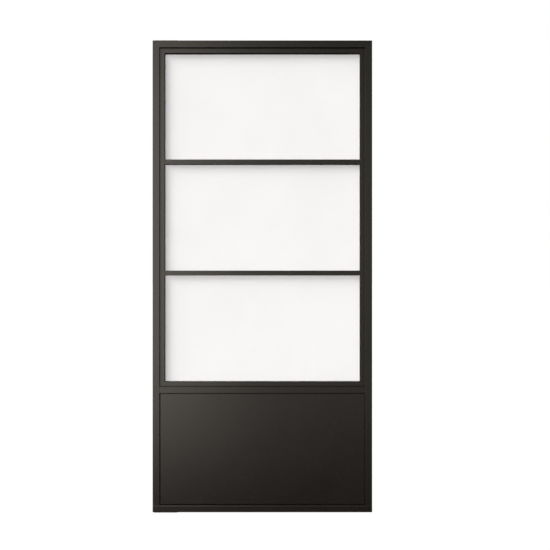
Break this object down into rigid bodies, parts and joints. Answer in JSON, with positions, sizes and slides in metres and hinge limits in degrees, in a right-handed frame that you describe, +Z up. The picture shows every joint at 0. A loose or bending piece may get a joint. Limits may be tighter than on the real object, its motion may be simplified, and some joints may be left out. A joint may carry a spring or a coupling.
{
  "type": "glass door",
  "caption": "Tall steel-framed door leaf with satin glass panes stacked over a closed lower panel, swinging both ways on hidden floor and ceiling pivots.",
  "frame": {"origin": "on the finished floor, under the middle of the closed leaf", "axes": "+X from the pivot edge to the free edge, -Y out of the front face, +Z up"},
  "size_m": [1, 0.05, 2.1645],
  "materials": {
    "dark_paint": "satin",
    "satin_glass": "acid-etched satin",
    "black_rubber": "matte",
    "nylon": "matte",
    "core_board": "sawn fibre board",
    "bronze": "turned",
    "screw_steel": "zinc plated",
    "bare_steel": "brushed stainless",
    "spring_steel": "drawn wire"
  },
  "bodies": {
    "pivot_fixings": {"floor_plate": "bare_steel", "floor_spindle": "bare_steel", "ceiling_plate": "bare_steel", "ceiling_bush": "bronze"},
    "leaf": {"stile_left": "dark_paint", "stile_right": "dark_paint", "top_rail": "dark_paint", "mid_rail": "dark_paint", "bottom_rail": "dark_paint", "bottom_rail_caps": "dark_paint", "glazing_liner_left": "dark_paint", "glazing_liner_right": "dark_paint", "glazing_liner_top": "dark_paint", "glazing_liner_bottom": "dark_paint", "front_bead_left": "dark_paint", "front_bead_right": "dark_paint", "front_bead_top": "dark_paint", "front_bead_bottom": "dark_paint", "front_bar_upper": "dark_paint", "front_bar_lower": "dark_paint", "bar_web_upper": "dark_paint", "bar_web_lower": "dark_paint", "pane_top": "satin_glass", "pane_middle": "satin_glass", "pane_bottom": "satin_glass", "setting_blocks": "nylon", "front_seal_top": "black_rubber", "front_seal_middle": "black_rubber", "front_seal_bottom": "black_rubber", "back_seal_top": "black_rubber", "back_seal_middle": "black_rubber", "back_seal_bottom": "black_rubber", "back_bead_left": "dark_paint", "back_bead_right": "dark_paint", "back_bead_top": "dark_paint", "back_bead_bottom": "dark_paint", "bead_screws": "screw_steel", "back_bar_upper": "dark_paint", "back_bar_lower": "dark_paint", "bar_screws": "screw_steel", "panel_liner_left": "dark_paint", "panel_liner_right": "dark_paint", "panel_liner_top": "dark_paint", "panel_liner_bottom": "dark_paint", "front_panel_tray": "dark_paint", "back_panel_tray": "dark_paint", "panel_core": "core_board", "bottom_pivot_block": "bare_steel", "bottom_bush": "bronze", "thrust_pad": "bronze", "top_pivot_block": "bare_steel", "top_spring": "spring_steel", "spring_plug": "bare_steel", "pivot_block_screws": "screw_steel"},
    "top_pin": {"top_pin": "bare_steel"}
  },
  "joints": [
    {"name": "leaf_swing", "type": "hinge", "parent": "pivot_fixings", "child": "leaf", "pos_m": [-0.48425, 0, 0], "axis": [0, 0, 1], "range_deg": [-90, 90]},
    {"name": "pin_draw", "type": "slide", "parent": "leaf", "child": "top_pin", "axis": [0, 0, 1], "range_m": [-0.01, 0], "stiffness_N_per_m": 1500, "springref_m": 0.01, "deforming": ["top_spring"]}
  ]
}
